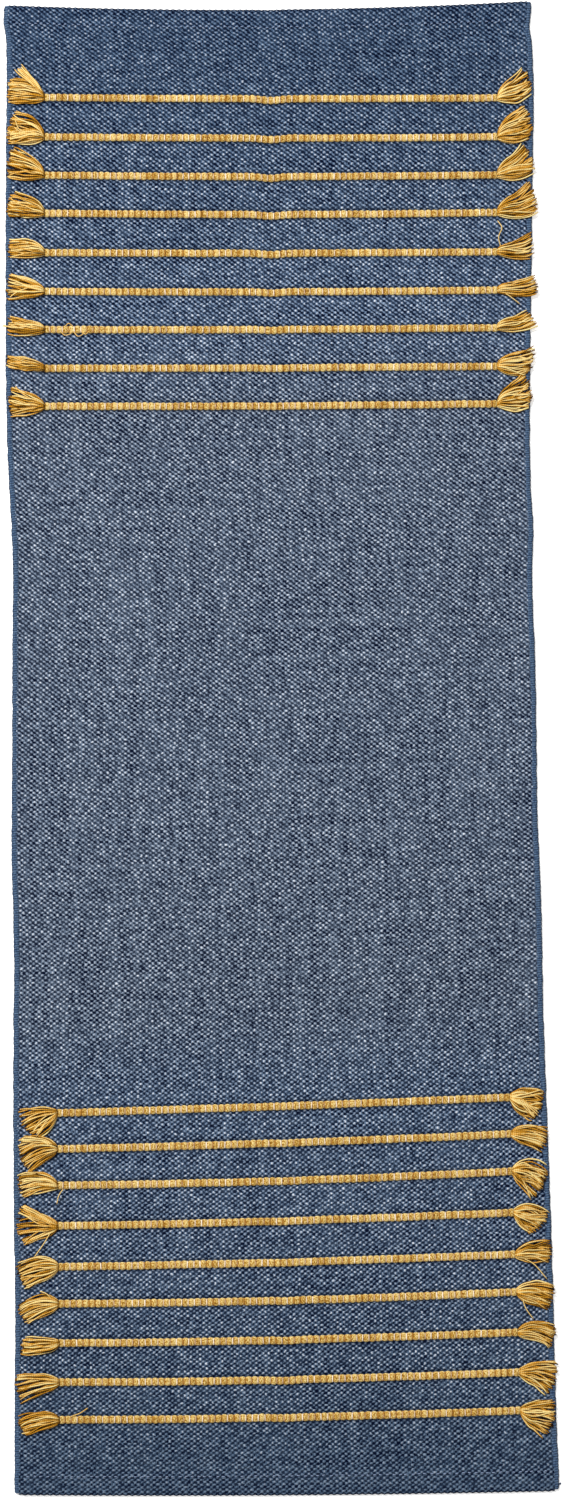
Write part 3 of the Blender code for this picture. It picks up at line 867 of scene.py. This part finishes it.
def makeStripe(end, number, material, tieYarn):
    look = inlaidStripe
    rng = np.random.default_rng(100 + number + 20 * ends[end])
    left, right = roots[end, number]
    middle = stripeLine(end, number)[0]
    fromX, toX = left[0] + look["pastRoot"] * mm, right[0] - look["pastRoot"] * mm
    beads = round((toX - fromX) / (look["beadLength"] * mm))
    count = beads * look["ringsPerBead"] + 1
    bead = np.linspace(0, beads, count)
    x = fromX + (toX - fromX) * bead / beads
    inBead = np.abs(2 * (bead % 1) - 1)
    crown = 1 - inBead ** 2.4
    size = rng.uniform(0.9, 1.08, beads + 1)[np.minimum(bead.astype(int), beads)]
    narrowest, swell = look["pinch"]
    half = look["halfWidth"] * mm * (narrowest + swell * crown * size)
    y = rowPlace(x, middle) + 0.35 * mm * waver(x, 17 * mm, 200 + number + 20 * ends[end])
    top = clothTop + (look["tieHeight"] + (look["crownHeight"] - look["tieHeight"]) * crown * size) * mm
    foot = look["foot"] * mm
    path = np.stack([x, y, (top + foot) / 2], axis=1)
    turn = np.arange(look["sidesAround"]) * 2 * math.pi / look["sidesAround"]
    # a flattened round: fuller at its shoulders than an ellipse
    across = np.sign(np.cos(turn)) * np.abs(np.cos(turn)) ** 0.75
    rise = np.sign(np.sin(turn)) * np.abs(np.sin(turn)) ** 0.8
    points = np.repeat(path[:, None, :], len(turn), axis=1)
    points[:, :, 1] += half[:, None] * across[None, :]
    points[:, :, 2] += ((top - foot) / 2)[:, None] * rise[None, :]
    stripe = makePiece(f"inlaidStripe_{end}_{number}", points.reshape(-1, 3), tubeFaces(count, len(turn)),
                       material, "rug", [f"stripe_{end}_{number}"])
    around = np.minimum(turn, 2 * math.pi - turn)
    lay = np.stack([np.tile(around, count), np.repeat(x / mm, len(turn)),
                    np.full(count * len(turn), 11.0 * number + 150 * ends[end])], axis=1)
    addValues(stripe, "lay", lay, "FLOAT_VECTOR")
    varied = look["beadVariety"][end]
    beadTone = 0.5 + varied * rng.uniform(-0.25, 0.25, beads + 1)[np.minimum(bead.astype(int), beads)]
    # each bead's own tone differs at random; on it lies painted shade and highlight: darker towards one
    # side of each bead, lighter towards the other, and darker at the notches between beads
    beadToneAndShade = np.clip(beadTone + 0.9 * varied * ((bead % 1) - 0.42) - 0.28 * inBead ** 5 + 0.04, 0, 1)
    addValues(stripe, "tone", np.repeat(beadToneAndShade, len(turn)))

    paths, radii, tones = [], [], []
    for tie in range(1, beads):
        place = fromX + (toX - fromX) * (tie + rng.uniform(-0.06, 0.06)) / beads
        at = rowPlace(place, middle)
        over = np.linspace(-1, 1, 9)
        reach = look["halfWidth"] * look["tieReach"] * mm
        height = clothTop - 0.3 * mm + (look["tieHeight"] + 1.1) * mm * (1 - over ** 6)
        path = np.stack([place + 0.3 * mm * rng.uniform(-1, 1) * over, at + over * reach, height], axis=1)
        paths.append(path)
        radii.append(np.full(9, look["tieThickness"] / 2 * mm * rng.uniform(0.7, 1.1)))
        # painted shade: each tie darker towards its ends, where it dives into the cloth
        tones.append(rng.uniform(*look["tieTint"][end]) + 0.5 * over ** 4)
    ties = bundleOfTubes(f"warpTies_{end}_{number}", paths, radii, 6, tieYarn, "rug",
                         tones=tones)
    return [stripe, ties]


# Tassels: the stripes' own yarn, left long, each strand a tube of its own.
looseTassel = {
    "strandThickness": 2.3,    # mm
    "sidesAround": 6,
    "ringsAlong": 16,
    "layers": (1.0, 0.85, 0.5),     # how much of the fan's width each layer covers
    "layerRise": 2.0,          # mm, from one layer to the next
    "wander": 1.8,             # mm, how far a strand strays from its curve
    "clump": 0.3,              # how far the cut ends draw together into locks
    "fill": (1.2, 1.0, 0.9),   # how closely each layer's strands lie
    "crownLightSideShade": 0.66,         # painted highlight and painted shade: how much lighter a strand's crown and underside are painted than its sides
    "yarnDeep": "#260f00",
    "yarn": "#dd9a24",
    "yarnPale": "#ffe89c",
    # mm, how far the ends turn aside
    "curl": {"far_left": 0, "far_right": 7, "near_left": -2, "near_right": -3},
    # one row for each tassel: how far out and how far aside (mm, + towards the far end) the lowest and
    # highest cut ends lie from the root, and how far aside the fan bulges low and high beside its root
    "fans": {
        "far_left": [(49, -6, 45, 30, -11, 27), (50, -8, 36, 40, -12, 31), (50, -2, 42, 42, -9, 28),
                     (51, -3, 41, 33, -9, 24), (48, -7, 48, 20, -9, 19), (50, -14, 44, 29, -12, 18),
                     (50, -6, 46, 22, -10, 14), (50, 2, 50, 22, -7, 14), (44, -19, 42, 30, -13, 19)],
        "far_right": [(45, 6, 34, 46, -7, 30), (44, -2, 34, 47, -11, 36), (50, 3, 34, 46, -8, 26),
                      (54, 0, 43, 44, -8, 27), (46, -10, 45, 29, -8, 16), (56, -6, 50, 21, -8, 15),
                      (55, 0, 40, 25, -5, 18), (38, -14, 50, 27, -13, 23), (44, -6, 34, 45, -8, 30)],
        "near_left": [(46, -21, 56, 4, -14, 15), (52, -28, 56, 12, -16, 13), (50, -15, 46, 8, -18, 7),
                      (42, -28, 54, 0, -17, 16), (40, -32, 56, 6, -21, 17), (45, -28, 48, 30, -17, 16),
                      (46, -15, 52, 15, -9, 21), (38, -33, 50, 11, -18, 20), (20, -37, 51, 3, -27, 10)],
        "near_right": [(28, -37, 44, 16, -28, 14), (35, -34, 50, 16, -17, 14), (42, -23, 50, 10, -12, 17),
                       (38, -28, 50, 10, -20, 15), (44, -13, 46, 22, -13, 19), (17, -30, 45, -1, -24, 13),
                       (23, -40, 45, 6, -24, 18), (37, -28, 49, 6, -16, 14), (28, -33, 43, 11, -28, 12)],
    },
    # a second lock over the fan: (out, aside) in mm along it, its width at its cut end, its strands
    "overlocks": {
        "far_left_1": ([(-2, 2), (11, 20), (34, 44)], 13, 9),
        "far_left_2": ([(0, 0), (18, 3), (44, -2)], 14, 7),
        "far_right_3": ([(-2, -1), (18, 7), (48, 12)], 12, 8),
        "near_left_8": ([(-2, 1), (16, 12), (48, 15)], 9, 6),
        "near_left_6": ([(-2, 0), (18, 12), (46, 26)], 12, 7),
        "near_right_9": ([(-2, 0), (14, -8), (34, -26)], 12, 7),
        "near_right_6": ([(-2, 0), (16, -6), (42, -8)], 12, 7),
    },
    # loose strands beside the fan: (out, aside) in mm along each
    "strays": {
        "far_left_2": [[(8, 4), (30, 8), (38, 24)], [(10, 2), (26, 3), (40, 14)]],
        "far_left_7": [[(20, 0), (40, 3), (57, 5)], [(20, 2), (42, 2), (56, 7)]],
        "far_right_5": [[(2, 3), (-2, 20), (3, 34), (-3, 45)]],
        "far_right_6": [[(4, -3), (16, -12), (28, -21)]],
        "near_left_7": [[(-12, -5), (-6, -14), (-3, -26)]],
        "near_left_6": [[(4, -4), (14, -22), (30, -44)]],
        "near_left_4": [[(4, 4), (12, 14), (22, 18)]],
        "near_right_5": [[(4, -4), (22, -14), (40, -35)]],
        "near_right_4": [[(3, -4), (8, -22), (19, -38)]],
    },
}


def mustardStrandMaterial():
    # two-ply mustard cotton: a slight lustre, ridged by its twist every 2.6 mm, which is drawn coarser
    # than real so that it shows, with painted highlight on the twist's ridges and painted shade in its
    # grooves, and each strand a little lighter or deeper; its tone also carries the painted highlight
    # on its crown and the painted shade on its sides
    look = looseTassel
    material, tree, shader = cottonMaterial("pliedMustardCotton", roughness=0.75, sheen=0.02, specular=0.07)
    lay = addNode(tree, "Attribute", {"attribute_name": "lay"}).outputs["Vector"]
    tone = addNode(tree, "Attribute", {"attribute_name": "tone"}).outputs["Fac"]
    slant = addNode(tree, "VectorMath", {"operation": "DOT_PRODUCT", 1: (2.0, 2.4, 0)}, {0: lay})
    wave = addNode(tree, "Math", {"operation": "SINE"}, {0: slant.outputs["Value"]}).outputs[0]
    spread = addNode(tree, "VectorMath", {"operation": "MULTIPLY", 1: (0.8, 0.3, 1)}, {0: lay}).outputs[0]
    mottle = addNode(tree, "TexNoise", {"Scale": 1.0, "Detail": 3.0}, {"Vector": spread}).outputs[0]
    # painted highlight on the twist's ridges and painted shade in its grooves
    ridged = addNode(tree, "Math", {"operation": "MULTIPLY_ADD", 1: 0.07}, {0: wave, 2: tone}).outputs[0]
    mixed = addNode(tree, "Math", {"operation": "MULTIPLY_ADD", 1: 0.45}, {0: mottle, 2: ridged}).outputs[0]
    yarn = addNode(tree, "ValToRGB", {}, {0: mixed})
    ramp = yarn.color_ramp
    ramp.elements[0].position, ramp.elements[0].color = 0.30, linearColour(look["yarnDeep"])
    ramp.elements[1].position, ramp.elements[1].color = 1.0, linearColour(look["yarnPale"])
    ramp.elements.new(0.70).color = linearColour(look["yarn"])
    tree.links.new(yarn.outputs["Color"], shader.inputs["Base Color"])
    bump = addNode(tree, "Bump", {"Strength": 0.6, "Distance": 0.35 * mm}, {"Height": wave})
    tree.links.new(bump.outputs[0], shader.inputs["Normal"])
    return material


def strandRise(t):
    # a strand climbs out of the stripe, humps over the head and comes down to the cloth
    return np.interp(t, [0, 0.12, 0.3, 0.6, 0.85, 1.0], [0.15, 0.75, 1.0, 0.75, 0.35, 0.15])


def makeTassel(end, side, number, material):
    look = looseTassel
    key = f"{end}_{side}"
    name = f"{key}_{number}"
    rng = np.random.default_rng(1000 + 100 * (ends[end] + 1) + 50 * (sides[side] + 1) + number)
    root = np.array(roots[end, number][0 if side == "left" else 1])
    root[1] = rowPlace(root[0], stripeLine(end, number)[0])
    lowOut, lowAside, highOut, highAside, lowBelly, highBelly = look["fans"][key][number - 1]
    lowReach, highReach = math.hypot(lowOut, lowAside), math.hypot(highOut, highAside)
    lowAngle, highAngle = math.atan2(lowAside, lowOut), math.atan2(highAside, highOut)
    t = np.linspace(0, 1, look["ringsAlong"])
    curl = look["curl"][key]
    locks = rng.integers(4, 7)
    lockPhase = rng.uniform(0, 1)
    paths, radii, tones = [], [], []
    radius = look["strandThickness"] / 2 * mm
    # painted highlight on each strand's crown and underside, painted shade on its sides
    upward = np.clip(np.sin(np.arange(look["sidesAround"]) * 2 * math.pi / look["sidesAround"]), 0, 1)
    crown = look["crownLightSideShade"] * (np.maximum(upward, np.roll(upward, look["sidesAround"] // 2)) - 0.6)
    for layer, cover in enumerate(look["layers"]):
        width = (highBelly - lowBelly) * cover
        strands = max(4, round(width / look["strandThickness"] * look["fill"][layer]))
        for strand in range(strands):
            share = (strand + 0.5 + rng.uniform(-0.25, 0.25)) / strands
            share = 0.5 + (share - 0.5) * cover + rng.uniform(-0.04, 0.04)
            lock = (math.floor(share * locks + lockPhase) + 0.5 - lockPhase) / locks
            tipShare = share + (lock - share) * look["clump"] + rng.normal(0, 0.06 + 0.06 * layer)
            tipShare = min(max(tipShare, -0.03), 1.03)
            reach = lowReach + (highReach - lowReach) * tipShare + rng.uniform(-3.5, 1.0) - 1.5 * layer
            angle = lowAngle + (highAngle - lowAngle) * tipShare
            belly = lowBelly + (highBelly - lowBelly) * share
            tipOut, tipAside = reach * math.cos(angle), reach * math.sin(angle)
            controls = np.array([(-4, (share - 0.5) * 8), (0.1 * tipOut, belly * 0.9),
                                 (0.42 * tipOut + abs(curl) * 0.6, belly * 1.14 - curl),
                                 (tipOut, tipAside)])
            curve = ((1 - t) ** 3)[:, None] * controls[0] + (3 * t * (1 - t) ** 2)[:, None] * controls[1] \
                + (3 * t ** 2 * (1 - t))[:, None] * controls[2] + (t ** 3)[:, None] * controls[3]
            wander = look["wander"] * waver(t * 50, 11, int(rng.integers(1, 4000))) * t
            curve[:, 1] += wander
            rim = math.sqrt(max(0.0, 1 - (2 * share - 1) ** 2 * 0.75))
            height = clothTop + radius * 1.05 + 0.25 * mm + mm * strandRise(t) * (
                layer * look["layerRise"] + 1.3 * rim) + 0.3 * mm * t * layer
            paths.append(strandPath(root, sides[side], curve, height))
            radii.append(radius * rng.uniform(0.85, 1.1) * np.interp(t, [0, 0.9, 1], [0.9, 1.0, 0.7]))
            covered = (1.0, 0.25, 0.0)[layer] * (1 - abs(2 * share - 1) ** 5)
            # each strand's own tone differs at random; the outermost strands of a fan get a painted
            # highlight, and every strand is darker over its first rings at the root
            base = 0.44 + rng.normal(0, 0.13) + 0.12 * (abs(2 * share - 1) > 0.86)
            along = base + 0.14 * np.sin(t * 5 + rng.uniform(0, 6)) - 0.12 * (t < 0.1)
            # the lower layers' crowns lie in the shade of the layers over them
            tones.append(along[:, None] + crown[None, :] - 0.5 * covered * upward[None, :])
    if name in look["overlocks"]:
        points, width, strands = look["overlocks"][name]
        lock = np.array(points, float)
        knots = np.linspace(0, 1, len(lock))
        line = np.stack([smoothThrough(list(zip(knots, lock[:, c])), t) for c in (0, 1)], axis=1)
        heading = (lock[-1] - lock[0]) / np.linalg.norm(lock[-1] - lock[0])
        for strand in range(strands):
            off = (strand + 0.5 + rng.uniform(-0.3, 0.3)) / strands - 0.5
            curve = line + off * width * (0.3 + 0.7 * t[:, None]) * np.array([-heading[1], heading[0]])
            curve = curve + heading * t[:, None] * rng.uniform(-4, 2)
            curve[:, 1] += look["wander"] * waver(t * 50, 11, int(rng.integers(1, 4000))) * t
            over = strandRise(t) * (5.0 + rng.uniform(-0.6, 0.6)) + 1.2 * t
            height = clothTop + radius * 1.2 + mm * over
            paths.append(strandPath(root, sides[side], curve, height))
            radii.append(radius * rng.uniform(0.85, 1.05) * np.interp(t, [0, 0.9, 1], [0.8, 1.0, 0.7]))
            tones.append(np.full(len(t), rng.normal(0.5, 0.1))[:, None] + crown[None, :])
    for points in look["strays"].get(name, []):
        stray = np.array(points, float)
        knots = np.linspace(0, 1, len(stray))
        curve = np.stack([smoothThrough(list(zip(knots, stray[:, c])), t) for c in (0, 1)], axis=1)
        height = clothTop + (1.2 + 4.5 * np.sin(math.pi * np.clip(t * 0.8 + 0.1, 0, 1))) * mm
        paths.append(strandPath(root, sides[side], curve, height))
        radii.append(radius * 0.8 * np.interp(t, [0, 0.9, 1], [0.8, 0.9, 0.6]))
        tones.append(np.full(len(t), 0.55)[:, None] + crown[None, :])
    piece = bundleOfTubes(f"looseTassel_{name}", paths, radii, look["sidesAround"], material, None,
                          [f"tassel_{name}"], tones=tones)
    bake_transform(piece)
    return piece


def strandPath(root, sign, curve, height):
    # from (out, aside) in mm about a root to places in the frame, never sunk into the cloth
    return np.stack([root[0] + sign * curve[:, 0] * mm, root[1] + curve[:, 1] * mm,
                     np.maximum(height, clothTop + 0.9 * mm)], axis=1)


# The few threads that hang loose on the cloth itself.
looseThreads = {
    "yarnThickness": 1.4,      # mm
    "warpThickness": 1.8,
    "tone": 0.6,
    # (x, y, rise) in mm along each, from a stripe's left root
    "far_7": [[(28, -4, 1), (33, -9, 2), (40, -8, 2), (44, -4, 1)],
              [(46, -4, 1), (52, -11, 3), (58, -9, 2), (62, -4, 1)],
              [(58, -4, 1), (63, -8, 2), (68, -4, 1)],
              [(34, 4, 1), (39, 8, 2), (45, 4, 1)]],
    "near_1": [[(18, 3, 1), (24, 6, 2), (33, 9, 2), (44, 16, 1)]],
    # (out, y) in mm along each, from a corner
    "cornerEnds": {"far_left": [[(-3, -8), (1, -6), (3.5, -8)], [(-3, -10), (0, -9), (3, -10.5)]],
                   "near_right": [[(-3, 7), (1, 9), (5.5, 11)], [(-3, 6), (1, 8), (5, 10)]]},
}


def makeLooseThreads(mustard, indigo):
    made = []
    t = np.linspace(0, 1, 18)
    for key in ("far_7", "near_1"):
        end, number = key.split("_")
        start = np.array(roots[end, int(number)][0])
        start[1] = rowPlace(start[0], stripeLine(end, int(number))[0])
        paths = []
        for points in looseThreads[key]:
            stray = np.array(points, float)
            knots = np.linspace(0, 1, len(stray))
            curve = np.stack([smoothThrough(list(zip(knots, stray[:, c])), t) for c in (0, 1, 2)], axis=1)
            paths.append(np.stack([start[0] + curve[:, 0] * mm, start[1] + curve[:, 1] * mm,
                                   clothTop + 0.3 * mm + curve[:, 2] * mm], axis=1))
        radii = [np.full(len(t), looseThreads["yarnThickness"] / 2 * mm)] * len(paths)
        tones = [np.full(len(t), looseThreads["tone"])] * len(paths)
        made.append(bundleOfTubes(f"looseYarn_{key}", paths, radii, 6, mustard, "rug",
                                  tones=tones))
    paths = []
    for key, threads in looseThreads["cornerEnds"].items():
        end, side = key.split("_")
        straight = ends[end] * rugHalfLength
        cornerX = sidePlace(side, straight)
        cornerY = rowPlace(cornerX, straight)
        for points in threads:
            stray = np.array(points, float)
            knots = np.linspace(0, 1, len(stray))
            curve = np.stack([smoothThrough(list(zip(knots, stray[:, c])), t) for c in (0, 1)], axis=1)
            paths.append(np.stack([cornerX - sides[side] * 3 * mm + sides[side] * curve[:, 0] * mm,
                                   cornerY + curve[:, 1] * mm, (0.8 + 1.6 * (1 - t)) * mm], axis=1))
    radii = [np.full(len(t), looseThreads["warpThickness"] / 2 * mm)] * len(paths)
    made.append(bundleOfTubes("cornerThreadEnds", paths, radii, 6, indigo, "rug"))
    return made


setUpView()
indigoWeave = denimWeaveMaterial()
indigoCord = selvedgeMaterial()
paleThread = threadMaterial()
mustardRoving = mustardStripeMaterial()
paleTie = tieMaterial()
mustardStrand = mustardStrandMaterial()

clothPiece = makeGroundCloth(indigoWeave)
onCloth = [makeSelvedge(side, indigoCord) for side in sides]
for end in ends:
    onCloth.append(makeHem(end, indigoWeave))
    onCloth.append(makeStitching(end, paleThread))
print("selvedges and hems made")
for end in ends:
    for number in range(1, stripesInGroup + 1):
        onCloth += makeStripe(end, number, mustardRoving, paleTie)
print("stripes laid in")
for end in ends:
    for side in sides:
        for number in range(1, stripesInGroup + 1):
            onCloth.append(makeTassel(end, side, number, mustardStrand))
onCloth += makeLooseThreads(mustardStrand, indigoCord)
print("tassels and loose threads made")
